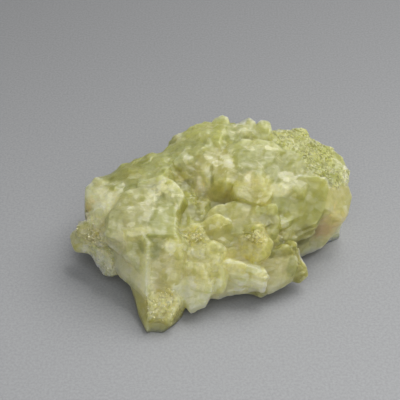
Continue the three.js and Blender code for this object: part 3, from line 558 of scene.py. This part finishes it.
# ---------------- tones
# Base colours of the stone
TONES = {
    "snow": (0.85, 0.83, 0.67),
    "milk": (0.75, 0.73, 0.52),
    "butter": (0.68, 0.63, 0.36),
    "lime": (0.59, 0.56, 0.26),
    "cream": (0.58, 0.54, 0.29),
    "blush": (0.78, 0.66, 0.385),
    "straw": (0.60, 0.55, 0.22),
    "sand": (0.53, 0.49, 0.19),
    "amber": (0.55, 0.52, 0.14),
    "shell": (0.61, 0.57, 0.34),
    "chalk": (0.46, 0.45, 0.255),
    "reed": (0.455, 0.46, 0.205),
    "tan": (0.465, 0.44, 0.175),
    "mint": (0.405, 0.415, 0.189),
    "pale": (0.396, 0.4, 0.17),
    "frost": (0.362, 0.37, 0.184),
    "grass": (0.396, 0.39, 0.131),
    "leaf": (0.357, 0.365, 0.16),
    "green": (0.338, 0.34, 0.136),
    "olive": (0.362, 0.35, 0.116),
    "moss": (0.27, 0.26, 0.082),
    "rust": (0.50, 0.27, 0.12),
    "dark": (0.10, 0.09, 0.05),
}
def by_crystal(table):
    """A table of crystals from a table of their values, each with its crystals' names in one text."""
    return {name: value for value, names in table.items() for name in names.split(", ")}


# The tone of each crystal, where it isn't leaf. The milk tones on the knob face, knob drop, slope flank,
# front knuckle and rim foot are partly painted light, for light passing through the stone.
TONE_OF = by_crystal({
    "cream": "knob crown, knob lip, shoulder flank, slope face, prong tip, hollow, lobe recess, "
             "rim face",
    "milk": "knob face, knob drop, shoulder, shoulder step, slope flank, front knuckle, rim foot",
    "green": "rear left, rear chip",
    "mint": "rear middle, plateau right, rim strip, small fin, crest knob, crest right, crest blade, "
            "back right, back ramp, back corner",
    "reed": "rear right, crest left, crest grains, right crest, right grains, back wedge",
    "chalk": "plateau left, lobe bump, mass top, back tooth",
    "frost": "white knuckle, crest block",
    "lime": "slope shelf, step upper, step middle, step lower",
    "sand": "prong, prong flank, lobe brow, right flank",
    "butter": "knuckle ridge, ledge top, ledge face, lobe foot",
    "tan": "ledge foot, pocket lump, centre top, centre fin, lobe lip, saddle left, back step, "
           "right heel, left heel",
    "shell": "front right",
    "moss": "front cheek",
    "grass": "pocket floor, centre right, lobe face, mass left, mass front, mass right",
    "straw": "pocket back, centre nose, mass middle",
    "pale": "lobe top, saddle right, mass back, back middle, back chip",
})
# How strongly each crystal breaks into long splinters, where it isn't 0.1
FIBRE = by_crystal({
    0.6: "ledge top, ledge face",
    0.4: "ledge foot, rear right, lobe lip",
    0.7: "pocket back",
    0.3: "saddle left",
    0.35: "crest left",
    0.2: "front right",
    0.5: "fold",
})
# How grainy each crystal is, where it isn't 0.35
GRAIN = by_crystal({
    0.75: "knob crown",
    0.8: "knob face, knob drop, rim strip, crest grains, right crest",
    0.9: "prong",
    0.1: "prong flank, lobe recess, crest block",
    0.15: "prong tip, slope flank, plateau right, front knuckle, front right, crest right",
    0.3: "plateau left, centre fin, saddle left",
    0.5: "pocket lump, step middle, centre nose",
    0.4: "pocket back, saddle right",
    0.6: "step upper",
    0.2: "centre top, ledge top, ledge face",
    0.08: "lobe face",
    0.12: "rim face",
    1.0: "right grains",
})
# What share of the relief that goes with its grain a crystal shows, where it isn't all of it
CALM = by_crystal({
    0.25: "right crest",
    0.3: "right grains",
    0.35: "crest grains",
    0.4: "rim strip, right shoulder",
    0.7: "knob crown",
    0.6: "prong",
    0.5: "saddle right, crest middle",
})
# How milky each crystal is, where it isn't 0.3
MILK = by_crystal({
    0.35: "plateau left, plateau right",
    0.45: "white knuckle",
    0.5: "shoulder, step middle, front knuckle, crest block",
    0.7: "shoulder step",
    0.55: "ledge top",
    0.4: "saddle left, saddle right, lobe bump",
    0.0: "lobe face, pocket floor, prong flank",
    0.1: "pocket back, centre right, lobe recess",
    0.2: "centre top, knob face",
})

# Places where the stone has another tone than the crystal they lie on, and places painted lighter or darker
# for light and shade: tone, its share, middle, half sizes
MARKS = [
    # pocket, clear stone beside the plateau, and under the centre block
    ("olive", 0.1, (1.5, 0, 13), (3.2, 1.5, 1.6)),
    ("olive", 0.4, (4.5, -1, 12.5), (1.8, 0.8, 1.2)),
    # painted shadow under the ridge at the back of the pocket
    ("moss", 0.4, (-4.5, 3, 14), (2, 1.1, 1)),
    ("olive", 0.9, (-4, -3, 11.5), (1, 2.6, 1.6)),
    ("olive", 0.2, (-1, -6.5, 10), (1.3, 1, 1.2)),
    ("olive", 0.3, (4.5, -6.5, 8.5), (2.4, 1.1, 1)),
    # green band under the plateau's lip, green heart of the lobe, and painted shadow in the notch under the
    # lobe
    ("leaf", 0.8, (-8.5, -8, 10), (2.6, 1.4, 1.6)),
    ("leaf", 0.2, (-11.5, -8, 9), (1.6, 2.2, 2.4)),
    ("grass", 0.8, (13, -0.5, 11), (2.6, 2, 2)),
    ("grass", 0.7, (11.5, -2, 11), (1.5, 1.5, 1.5)),
    ("moss", 0.9, (9.5, -6.5, 7.5), (2.4, 0.9, 1.2)),
    ("moss", 1, (11.3, -5.2, 7.4), (2.4, 0.9, 0.9)),
    # painted light: lighter tone on the shaded stone under the plateau, for light that passes through it
    ("milk", 0.9, (-13.8, -6.3, 7.2), (2.2, 1.6, 2.6)),
    ("milk", 0.9, (-11, -9.5, 6.6), (1.8, 2.2, 2.6)),
    # centre, rim, ledge and saddle
    ("grass", 0.8, (5, -5, 10.3), (1.7, 1, 0.7)),
    ("blush", 0.8, (18.3, 0.2, 6), (2.6, 1.6, 3.2)),
    ("milk", 0.8, (2.6, -10.4, 4.4), (1.3, 0.8, 1)),
    ("amber", 0.45, (1.5, 0.9, 12.4), (2.5, 1, 1.8)),
    ("lime", 0.8, (7.5, 1, 12.5), (1.2, 1.6, 1.6)),
    ("milk", 0.9, (-1, 2.5, 13.2), (1, 1.6, 1.8)),
    # painted shadow in the recess under the lobe's lip
    ("moss", 0.9, (13.5, -1.2, 5.2), (2.6, 0.9, 1.2)),
    # prong, white blocks on the plateau's edge, cheek of the front right block
    ("butter", 0.7, (-7, -13.3, 4), (2.4, 2.2, 1.8)),
    ("snow", 0.9, (-6, -8.4, 10.3), (0.8, 0.8, 1)),
    ("snow", 0.6, (-6.4, 0.8, 13.8), (1.3, 0.9, 0.9)),
    ("snow", 0.7, (-11.3, -7.3, 11.6), (1.5, 0.5, 0.5)),
    ("leaf", 0.8, (11.5, -8, 5.5), (0.9, 1.6, 1.6)),
    # stained recess, stained edge of the shoulder, slope of the crest, healed crack
    ("rust", 0.35, (16, -0.5, 5.5), (1.6, 1.4, 1.2)),
    ("blush", 0.9, (-17.5, -0.5, 10), (0.9, 1.8, 1.6)),
    ("leaf", 0.7, (-4, 7.5, 15.5), (1.6, 1.4, 1.2)),
    ("moss", 0.8, (0, 2.2, 14.2), (0.25, 1.6, 1)),
    # paler stone, painted light on low and shaded faces for light passing through the stone: left side,
    # pocket, slope, knob, ledge, knuckle and recess; paler stone on the lobe
    ("milk", 0.8, (-16.6, -2.3, 10.6), (1.5, 1.5, 1.1)),
    ("milk", 0.6, (-15.2, -5.7, 9.8), (1.3, 1.3, 1.8)),
    ("sand", 0.8, (1.2, 0.8, 11.7), (2.2, 1, 1.3)),
    ("butter", 0.7, (5.6, 1.4, 14), (0.9, 1.3, 0.9)),
    ("milk", 0.5, (-9.5, -11.3, 6.5), (1.2, 1.4, 2)),
    ("milk", 0.9, (-13.2, -7.1, 10.2), (1.6, 1.2, 1.4)),
    ("milk", 0.6, (-11.4, -9.1, 8), (1.2, 1, 1.4)),
    ("snow", 0.6, (-17.3, -4.4, 4.6), (1.6, 1.6, 1.6)),
    ("snow", 0.6, (3.1, -9.7, 5.2), (2, 1.2, 1.2)),
    ("snow", 0.8, (6, -10.4, 4.4), (2, 1.2, 1.2)),
    ("snow", 0.8, (-3.9, -11, 5.3), (1.4, 1, 1)),
    ("snow", 0.5, (-1.1, -11.8, 5.2), (1.2, 1, 1)),
    ("milk", 0.7, (15, -0.5, 2.2), (1.8, 1.2, 1.4)),
    ("milk", 0.8, (9.8, 0.4, 13), (1.2, 0.9, 0.9)),
    ("reed", 0.8, (9.9, -1.1, 11.4), (1.2, 1, 1)),
    ("mint", 0.7, (-14.1, 5.3, 12.4), (1.4, 1.4, 1.4)),
    # clearer and darker stone: centre, steps, shoulder and slope; painted shadow beside the plateau under the
    # pocket's back ridge, and under the lobe's lip
    # painted shadow under the ridge at the back of the pocket
    ("moss", 0.9, (-3.5, 2, 12.5), (1, 1, 0.9)),
    ("moss", 0.9, (-2.3, -2, 10.9), (1, 1.2, 0.9)),
    ("olive", 0.8, (1.4, -2.5, 11.4), (1.2, 0.8, 0.8)),
    ("moss", 0.8, (7.8, -3.6, 10.9), (1.4, 0.9, 0.9)),
    ("olive", 0.9, (0.7, -7.9, 9.5), (1, 0.9, 0.9)),
    # painted shadow under the lobe's lip
    ("moss", 0.8, (13.4, -2.8, 7.9), (1.8, 0.8, 0.8)),
    ("moss", 1, (11.1, -5.8, 7.8), (1.3, 0.9, 0.8)),
    ("chalk", 0.8, (-16.4, 2.8, 12.6), (1.1, 1.2, 0.9)),
    ("olive", 0.4, (-11.5, 3.1, 14), (2, 1.4, 1)),
    ("dark", 0.9, (-14, -4.5, 12.5), (0.25, 0.25, 0.4)),
]
# Milk-white places: middle, half sizes
WHITES = [
    ((-6, -0.5, 14.5), (1.3, 0.9, 0.8)), ((-5, -3, 13), (0.35, 1.2, 0.7)), ((-5, -5, 12), (0.35, 1.3, 0.7)),
    ((-11, -6.8, 12), (1.5, 0.7, 0.7)), ((-6, -8.5, 10.5), (0.55, 0.7, 0.9)), ((-4, -11.5, 5), (1, 1, 1.2)),
    ((-2, -8.5, 9), (1.1, 0.7, 0.8)), ((-16, -2, 11.5), (0.8, 0.9, 0.6)),
    ((19.8, 4.5, 11.5), (0.5, 1.4, 1.2)), ((11, 2.3, 14), (1.2, 0.8, 0.6)),
    ((4.5, 9.5, 17), (1.3, 1.2, 0.8)), ((2.5, 4, 15.5), (1.6, 1.2, 0.8)), ((5.5, -9, 6.5), (1.8, 0.7, 1)),
    ((-13.5, -1, 13), (1.5, 1.2, 0.8)), ((0.5, -11.3, 5.8), (0.8, 0.8, 0.8)),
]
# Places set with small crystals: middle, half sizes
DRUSES = [
    ((15.5, 6.5, 14), (2.8, 2.6, 1.5)), ((18, 4, 12), (1.6, 1.4, 1.2)), ((-7, -13.3, 4), (2.2, 2.2, 1.6)),
    ((6, -6, 10.5), (1.6, 1.1, 1.6)), ((-2, 0.2, 11.7), (1.2, 1.2, 1)), ((-17, -4.8, 8), (1.8, 1.6, 1.8)),
    ((-2.5, -6, 10.5), (1.6, 1.2, 1.2)), ((10.5, 9.5, 16), (1.8, 2, 1)),
]
CLEARED = (0.07, 0.06, 0.22)  # what the clearest flakes lose of each colour
BODY = (0.97, 0.965, 0.94)  # cast of the whole stone


def over_crystals(table, other, made, edges, rounds):
    """A value that each crystal has in a table, at every point, softened across their borders."""
    value = np.array([table.get(row[0], other) for row in CRYSTALS])[made["owner"]]
    return soften(value, edges, rounds)


def patch(points, middle, sizes, ragged, torn=0.5):
    """1 inside an ellipsoid and 0 outside, over a border that `ragged` (0 to 1 at each point) moves about."""
    far = np.linalg.norm((points - middle) / np.array(sizes), axis=1)
    return np.clip((1.3 - far - torn * (ragged - 0.5)) / 0.5, 0, 1)


def tone_of_points(points, made, edges):
    """Each point's tone: its crystal's, softened, then the marks', less what the flake it lies in clears."""
    names = {name: TONES[tone] for name, tone in TONE_OF.items()}
    tone = over_crystals(names, TONES["leaf"], made, edges, 14)
    for name, share, middle, sizes in MARKS:
        tone += share * patch(points, middle, sizes, made["chip"])[:, None] * (np.array(TONES[name]) - tone)
    clear = np.array([CLEARED]) * (0.5 * made["plate"] + 0.5 * made["chip"])[:, None]
    # painted light: grainy places are made lighter, to offset the shade that the small crystals cast on them
    return tone * BODY * (1.0 - clear) * (1 + 0.12 * made["grain"])[:, None]


def milk_of_points(points, made, edges):
    """How milky each point is: its crystal's share, none at the marks, and nearly all in the white places."""
    milk = over_crystals(MILK, 0.3, made, edges, 14)
    for _, share, middle, sizes in MARKS:
        milk *= 1 - share * patch(points, middle, sizes, made["chip"])
    for middle, sizes in WHITES:
        milk = np.maximum(milk, 0.9 * patch(points, middle, sizes, made["chip"], 1.6))
    return milk


# ---------------- small crystals
SIDES = 5
PROFILE = ((-1.2, 0.8), (0.1, 1.0), (0.5, 0.5))  # height and half width of its rings, per size of a crystal
SIZE_LEAST, SIZE_MORE = 0.06, 0.12  # half width in mm, and what chance adds to it
CROWDED = 0.22  # share of the points that carry one in a grainy place
GRAINY_FROM, GRAINY_OVER = 0.45, 0.4  # the grain where they begin, and over which they get to that share
LOWEST = 1.5  # none stand lower than this
DRUSE_LEAN = (0.35, -0.25, 1.0)


def druse(points, normal, grain):
    """Small blunt crystals in the grainy places: points, faces, and each crystal's host point and draw.

    A crystal is a flattened ring of corners carried along its own axis, from a sunk foot over a shoulder to a
    smaller tip set off to one side. The axes share a lean, as those of crystals that grew together do.
    """
    index = np.arange(len(points))[:, None] * (1.0, 0.0, 0.0)
    crowd = np.clip((grain - GRAINY_FROM) / GRAINY_OVER, 0, 1) ** 1.5
    crowd = crowd * (points[:, 2] > LOWEST) * (normal[:, 2] > -0.1)
    host = np.flatnonzero(scatter(index, 201) < CROWDED * crowd)
    draw = np.stack([scatter(index[host], 202 + k) for k in range(9)], 1)
    size = SIZE_LEAST + SIZE_MORE * draw[:, 0] ** 2
    axis = np.array(DRUSE_LEAN) + 0.9 * normal[host] + 1.1 * (draw[:, 1:4] - 0.5)
    axis /= np.linalg.norm(axis, axis=1, keepdims=True)
    side = np.cross(axis, (0.2, 1.0, 0.1) + 0.8 * (draw[:, 4:7] - 0.5))
    side /= np.linalg.norm(side, axis=1, keepdims=True)
    across = np.cross(axis, side)
    angle = 2 * math.pi * np.arange(SIDES) / SIDES
    rings = []
    for height, width in PROFILE:
        off = 0.5 * max(height, 0) * (draw[:, 7] - 0.5)
        x = width * np.cos(angle)[None, :] * (1.0 + 0.5 * draw[:, 8:9]) + off[:, None]
        y = 0.7 * width * np.sin(angle)[None, :]
        rings.append(side[:, None] * x[:, :, None] + across[:, None] * y[:, :, None] + height * axis[:, None])
    shape = points[host][:, None, None] + size[:, None, None, None] * np.stack(rings, 1)
    corner = np.arange(len(host) * len(PROFILE) * SIDES).reshape(len(host), len(PROFILE), SIDES)
    after = np.roll(corner, -1, axis=2)
    walls = np.stack([corner[:, :-1], after[:, :-1], after[:, 1:], corner[:, 1:]], -1).reshape(-1, 4)
    caps = np.concatenate([corner[:, 0, ::-1], corner[:, -1]])
    return shape.reshape(-1, 3), walls.tolist() + caps.tolist(), host, draw


# ---------------- materials
IOR = 1.6


def group(name, inputs, outputs):
    """An empty node group with named sockets: (name, kind, value) in and (name, kind) out."""
    tree = bpy.data.node_groups.new(name, "ShaderNodeTree")
    for label, kind, value in inputs:
        socket = tree.interface.new_socket(label, in_out="INPUT", socket_type="NodeSocket" + kind)
        if value is not None:
            socket.default_value = value
    for label, kind in outputs:
        tree.interface.new_socket(label, in_out="OUTPUT", socket_type="NodeSocket" + kind)
    return tree, tree.nodes.new("NodeGroupInput").outputs, tree.nodes.new("NodeGroupOutput").inputs


def feed(tree, socket, value):
    """Puts a number, a colour or another node's output into a socket."""
    if isinstance(value, bpy.types.NodeSocket):
        tree.links.new(value, socket)
    elif value is not None:
        socket.default_value = value


def put(tree, kind, values, **settings):
    """A node of a kind, with its settings and its sockets' values by name or number."""
    node = tree.nodes.new("ShaderNode" + kind)
    for key, value in settings.items():
        setattr(node, key, value)
    for key, value in values.items():
        feed(tree, node.inputs[key], value)
    return node


def calc(tree, operation, *values):
    return put(tree, "Math", dict(enumerate(values)), operation=operation).outputs[0]


def times(tree, one, other):
    return calc(tree, "MULTIPLY", one, other)


def vector(tree, operation, *values):
    return put(tree, "VectorMath", dict(enumerate(values)), operation=operation)


def noise(tree, place, size, detail=2.0, rough=0.5, twist=0.0):
    """Cloud noise with blobs of about a given size in metres."""
    return put(tree, "TexNoise", {"Vector": place, "Scale": 1 / size, "Detail": detail, "Roughness": rough,
                                  "Distortion": twist}).outputs[0]


def ramp(tree, value, low, high, first=0.0, last=1.0):
    """A smooth step from first to last while the value goes from low to high."""
    return put(tree, "MapRange", {"Value": value, "From Min": low, "From Max": high, "To Min": first,
                                  "To Max": last}, interpolation_type="SMOOTHSTEP").outputs[0]


def blend(tree, share, one, other, kind="MIX"):
    node = put(tree, "Mix", {0: share}, data_type="RGBA", blend_type=kind, clamp_factor=True)
    feed(tree, node.inputs[6], one)
    feed(tree, node.inputs[7], other)
    return node.outputs[2]


def new_material(name):
    """A material, its node tree and the inputs of its Principled BSDF."""
    mat = bpy.data.materials.new(name)
    mat.use_nodes = True
    return mat, mat.node_tree, mat.node_tree.nodes["Principled BSDF"].inputs


def turned(tree, place, turn, scale):
    """A place turned and stretched, so that a pattern on it runs its own way."""
    return put(tree, "Mapping", {"Vector": place, "Rotation": turn, "Scale": scale}).outputs[0]


def veils_group():
    """Milk, mottling, clear leaves and thin healed cracks inside the stone, as masks from 0 to 1.

    Cloud is ragged streaks of noise that close up as Milk grows. Mottle is finer noise along the same
    streaks, and Leaf is wide noise. Crack is the borders of a Voronoi pattern, in parts. Fleck and Gap are
    some cells of another one: flecks where the streaks are strong, gaps where they are weak.
    """
    tree, given, out = group("veils", [("Place", "Vector", None), ("Milk", "Float", 0.3)],
                             [("Cloud", "Float"), ("Mottle", "Float"), ("Crack", "Float"), ("Leaf", "Float"),
                              ("Fleck", "Float"), ("Gap", "Float")])
    place = given["Place"]
    streak = turned(tree, place, (0.2, -0.3, 0.45), (0.55, 1.5, 1.1))
    veil = noise(tree, streak, 2.4 * MM, 7.0, 0.66, 0.6)
    thick = calc(tree, "ADD", veil, times(tree, given["Milk"], 0.45))
    feed(tree, out["Cloud"], ramp(tree, thick, 0.64, 0.84))
    aside = vector(tree, "ADD", place, (0.03, 0.01, 0.02)).outputs[0]
    feed(tree, out["Leaf"], ramp(tree, noise(tree, aside, 5.0 * MM, 4.0, 0.55, 0.8), 0.44, 0.66))
    feed(tree, out["Mottle"], noise(tree, streak, 0.9 * MM, 4.0, 0.6, 0.6))
    border = put(tree, "TexVoronoi", {"Vector": streak, "Scale": 1 / (2.6 * MM)}, feature="DISTANCE_TO_EDGE")
    part = ramp(tree, noise(tree, place, 2.0 * MM, 1.0), 0.48, 0.62)
    line = ramp(tree, border.outputs["Distance"], 0.0, 0.035, 1.0, 0.0)
    feed(tree, out["Crack"], times(tree, line, part))
    across = turned(tree, place, (0.5, 0.3, -0.5), (0.75, 1.3, 1.0))
    flake = put(tree, "TexVoronoi", {"Vector": across, "Scale": 1 / (1.1 * MM)})
    chance = put(tree, "SeparateColor", {0: flake.outputs["Color"]}).outputs[0]
    strong, weak = ramp(tree, veil, 0.42, 0.56), ramp(tree, veil, 0.58, 0.44)
    feed(tree, out["Fleck"], times(tree, ramp(tree, chance, 0.84, 0.90), strong))
    feed(tree, out["Gap"], times(tree, ramp(tree, chance, 0.20, 0.14), weak))
    return tree


def faces_group():
    """Small flat crystal faces, each tilted its own way: their height in metres, and a random shade for each.

    Every cell of a Voronoi pattern is a plane through its own middle. The plane's slope is the cell's random
    colour, less a half, times the tilt.
    """
    tree, given, out = group("crystal faces", [("Place", "Vector", None), ("Size", "Float", 0.001),
                                               ("Tilt", "Float", 0.5)],
                             [("Height", "Float"), ("Shade", "Float")])
    scale = calc(tree, "DIVIDE", 1.0, given["Size"])
    cell = put(tree, "TexVoronoi", {"Vector": given["Place"], "Scale": scale})
    away = vector(tree, "SUBTRACT", given["Place"], cell.outputs["Position"]).outputs[0]
    slope = vector(tree, "SUBTRACT", cell.outputs["Color"], (0.5, 0.5, 0.5)).outputs[0]
    height = vector(tree, "DOT_PRODUCT", away, slope).outputs["Value"]
    feed(tree, out["Height"], times(tree, times(tree, height, 2.0), given["Tilt"]))
    feed(tree, out["Shade"], put(tree, "SeparateColor", {0: cell.outputs["Color"]}).outputs[0])
    return tree


def use(tree, grouped, **values):
    node = tree.nodes.new("ShaderNodeGroup")
    node.node_tree = grouped
    for key, value in values.items():
        feed(tree, node.inputs[key], value)
    return node.outputs


def attribute(tree, name):
    return put(tree, "Attribute", {}, attribute_name=name).outputs


# Colours of what lies in the stone, what the clear parts do to its tone, a painted glow for hollows and a
# painted highlight for convex edges
LEAF = (0.80, 0.84, 0.62, 1)
PAINTED_HOLLOW_GLOW = (1.10, 1.06, 0.74, 1)
GAP = (0.80, 0.82, 0.60, 1)
SHADE = (0.94, 0.95, 0.80, 1)
VEIL = (0.68, 0.665, 0.46, 1)
SEAM = (0.64, 0.62, 0.40, 1)
FLECK = (0.72, 0.70, 0.50, 1)
PAINTED_EDGE_HIGHLIGHT = (0.66, 0.65, 0.44, 1)


def stone_material(veils, faces):
    """Cloudy yellow-green stone: tones of its crystals, veils in them, a painted glow in hollows, a painted
    highlight on convex edges, and small faces that catch light.
    """
    mat, tree, bsdf = new_material("cloudy stone")
    place = put(tree, "TexCoord", {}).outputs["Object"]
    tone = attribute(tree, "tone")["Color"]
    grain, milk, deep, edge = (attribute(tree, name)["Fac"] for name in ("grain", "milk", "deep", "edge"))
    veil = use(tree, veils, Place=place, Milk=milk)
    fine = use(tree, faces, Place=place, Size=0.34 * MM, Tilt=1.0)
    broad = use(tree, faces, Place=place, Size=1.1 * MM, Tilt=0.18)

    color = blend(tree, times(tree, veil["Leaf"], 0.32), tone, LEAF, "MULTIPLY")
    # painted glow: hollows are made lighter and yellower, for light that passes through the stone into them
    color = blend(tree, deep, color, PAINTED_HOLLOW_GLOW, "MULTIPLY")
    cloudy = times(tree, veil["Cloud"], ramp(tree, milk, 0.5, 1.0, 0.32, 0.8))
    flecked = times(tree, veil["Fleck"], ramp(tree, milk, 0.0, 0.6, 0.2, 0.65))
    color = blend(tree, cloudy, color, VEIL)
    color = blend(tree, times(tree, veil["Crack"], milk), color, SEAM)
    color = blend(tree, flecked, color, FLECK)
    color = blend(tree, times(tree, veil["Gap"], 0.6), color, GAP, "MULTIPLY")
    # painted highlight: convex edges are made paler, as edges that catch the light
    color = blend(tree, edge, color, PAINTED_EDGE_HIGHLIGHT)
    shaded = blend(tree, 1.0, color, SHADE, "MULTIPLY")
    color = blend(tree, ramp(tree, veil["Mottle"], 0.30, 0.70), shaded, color)
    speck = times(tree, calc(tree, "SUBTRACT", fine["Shade"], 0.5), grain)
    light = calc(tree, "ADD", 1.03, times(tree, speck, 0.5))
    patchy = times(tree, calc(tree, "SUBTRACT", broad["Shade"], 0.5), 0.05)
    color = vector(tree, "SCALE", color)
    feed(tree, color.inputs["Scale"], calc(tree, "ADD", light, patchy))
    feed(tree, bsdf["Base Color"], color.outputs[0])

    height = times(tree, fine["Height"], calc(tree, "POWER", grain, 2.0))
    height = calc(tree, "ADD", height, broad["Height"])
    height = calc(tree, "ADD", height, times(tree, veil["Mottle"], 0.11 * MM))
    bump = put(tree, "Bump", {"Height": height, "Strength": 1.0, "Distance": 1.0})
    feed(tree, bsdf["Normal"], bump.outputs[0])
    feed(tree, bsdf["Roughness"], ramp(tree, grain, 0.2, 0.9, 0.36, 0.20))
    bsdf["IOR"].default_value = IOR
    bsdf["Subsurface Weight"].default_value = 1.0
    bsdf["Subsurface Radius"].default_value = (1.0, 0.9, 0.5)
    bsdf["Subsurface Scale"].default_value = 8.0 * MM
    return mat


def grain_material(veils):
    """Small crystals of a high gloss: the tone of the stone they stand on, lighter or darker one by one."""
    mat, tree, bsdf = new_material("small crystals")
    veil = use(tree, veils, Place=put(tree, "TexCoord", {}).outputs["Object"], Milk=0.3)
    color = vector(tree, "SCALE", attribute(tree, "tone")["Color"])
    feed(tree, color.inputs["Scale"], ramp(tree, veil["Mottle"], 0.30, 0.70, 0.88, 1.12))
    feed(tree, bsdf["Base Color"], color.outputs[0])
    feed(tree, bsdf["Roughness"], ramp(tree, veil["Mottle"], 0.30, 0.70, 0.10, 0.22))
    bsdf["IOR"].default_value = IOR
    return mat


# ---------------- pieces
SHARP = math.radians(15)  # edges that turn further than this stay sharp
DEEP_FROM, DEEP_OVER, DEEP_MOST = 0.15, 1.1, 0.9  # mm where a hollow starts, mm over which its painted glow grows, and the most of it
EDGE_FROM, EDGE_OVER, EDGE_MOST = 0.06, 0.25, 0.15  # the same for convex edges, which get a painted highlight
OWN, WHITER = 0.75, 0.25  # a small crystal's tone: share of its host's, of milk
DIM, BRIGHTER = 0.9, 0.35  # its least brightness, and what chance adds


def new_piece(name, points, faces, tone, material):
    """A mesh piece of the stone, with a tone at each point, riding on the root body."""
    mesh = bpy.data.meshes.new(name)
    mesh.from_pydata((points * MM).tolist(), [], faces)
    mesh.update()
    mesh.shade_flat()
    layer = mesh.color_attributes.new("tone", "FLOAT_COLOR", "POINT")
    layer.data.foreach_set("color", np.c_[tone, np.ones(len(tone))].astype(np.float32).ravel())
    mesh.materials.append(material)
    piece = bpy.data.objects.new(name, mesh)
    bpy.context.scene.collection.objects.link(piece)
    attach(piece, "root")
    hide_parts(NODE)
    return piece


def make_stone():
    """The stone with its numbers at each point, and the small crystals on it."""
    points, quads, edges, made = stone_surface()
    tone = tone_of_points(points, made, edges)
    deep = np.clip((soften(made["hollow"], edges, 6) - DEEP_FROM) / DEEP_OVER, 0, DEEP_MOST)
    edge = np.clip((-made["notch"] - EDGE_FROM) / EDGE_OVER, 0, EDGE_MOST)
    veils = veils_group()
    stone = new_piece("stone", points, quads.tolist(), tone, stone_material(veils, faces_group()))
    shown = dict(grain=made["grain"], milk=milk_of_points(points, made, edges), deep=deep, edge=edge)
    for name, value in shown.items():
        stone.data.attributes.new(name, "FLOAT", "POINT").data.foreach_set("value", value.astype(np.float32))
    stone.data.set_sharp_from_angle(angle=SHARP)

    grain_points, faces, host, draw = druse(points, outward(soften(points, edges, 3), quads), made["grain"])
    shade = (OWN * tone[host] + WHITER * np.array(TONES["milk"])) * (DIM + BRIGHTER * draw[:, 1:2])
    shade = np.repeat(shade, len(PROFILE) * SIDES, axis=0)
    new_piece("small_crystals", grain_points, faces, shade, grain_material(veils))


# ---------------- floor, light and camera
def floor_material():
    """Pale grey board, with a painted pool of light that makes it a little lighter towards the front, and a
    fine speckle.
    """
    mat, tree, bsdf = new_material("pale floor")
    place = put(tree, "TexCoord", {}).outputs["Object"]
    depth = put(tree, "SeparateXYZ", {0: place}).outputs[1]
    # painted light: the board is lighter towards the front
    light = ramp(tree, depth, -0.05, 0.09, 0.36, 0.25)
    speckle = ramp(tree, noise(tree, place, 0.35 * MM, 2.0, 0.7), 0.25, 0.75, 0.90, 1.10)
    color = vector(tree, "SCALE", (0.97, 0.985, 1.01))
    feed(tree, color.inputs["Scale"], times(tree, light, speckle))
    feed(tree, bsdf["Base Color"], color.outputs[0])
    bsdf["Roughness"].default_value = 0.7
    return mat


def stage_floor():
    half = 0.6
    corners = [(-half, -half, 0), (half, -half, 0), (half, half, 0), (-half, half, 0)]
    mesh = bpy.data.meshes.new("floor")
    mesh.from_pydata(corners, [], [(0, 1, 2, 3)])
    mesh.materials.append(floor_material())
    floor = bpy.data.objects.new("floor", mesh)
    bpy.context.scene.collection.objects.link(floor)


def aim(obj, place, target):
    """Stands an object at a place and turns its -Z to the target, with its Y as high as it goes."""
    obj.location = place
    obj.rotation_mode = "QUATERNION"
    obj.rotation_quaternion = (Vector(target) - Vector(place)).to_track_quat("-Z", "Y")
    bpy.context.scene.collection.objects.link(obj)


def lamp(name, place, size, power, color):
    light = bpy.data.lights.new(name, "AREA")
    light.energy, light.size, light.color = power, size, color
    aim(bpy.data.objects.new(name, light), place, (0, 0, 0.006))


make_stone()
stage_floor()
lamp("window", (0.12, 0.08, 0.26), 0.25, 0.76, (1.0, 0.99, 0.97))
lamp("room", (0.03, -0.20, 0.26), 0.24, 0.415, (0.97, 0.98, 1.0))
lamp("spark", (0.05, 0.03, 0.30), 0.03, 0.08, (1.0, 1.0, 1.0))

SKY = 0.17
world = bpy.data.worlds.new("room")
bpy.context.scene.world = world
world.use_nodes = True
world.node_tree.nodes["Background"].inputs[0].default_value = (0.97, 0.98, 1.0, 1)
world.node_tree.nodes["Background"].inputs[1].default_value = SKY

TILT = math.radians(42)  # the camera looks down by this much
AWAY = 0.160
FOCAL = 97.3
TARGET = Vector((-0.0017, 0.00375, 0.008))
camera = bpy.data.cameras.new("camera")
camera.lens = FOCAL
camera.clip_start = 0.005
eye = bpy.data.objects.new("camera", camera)
aim(eye, TARGET + Vector((0, -math.cos(TILT), math.sin(TILT))) * AWAY, TARGET)
bpy.context.scene.camera = eye
bpy.context.scene.view_settings.view_transform = "Standard"
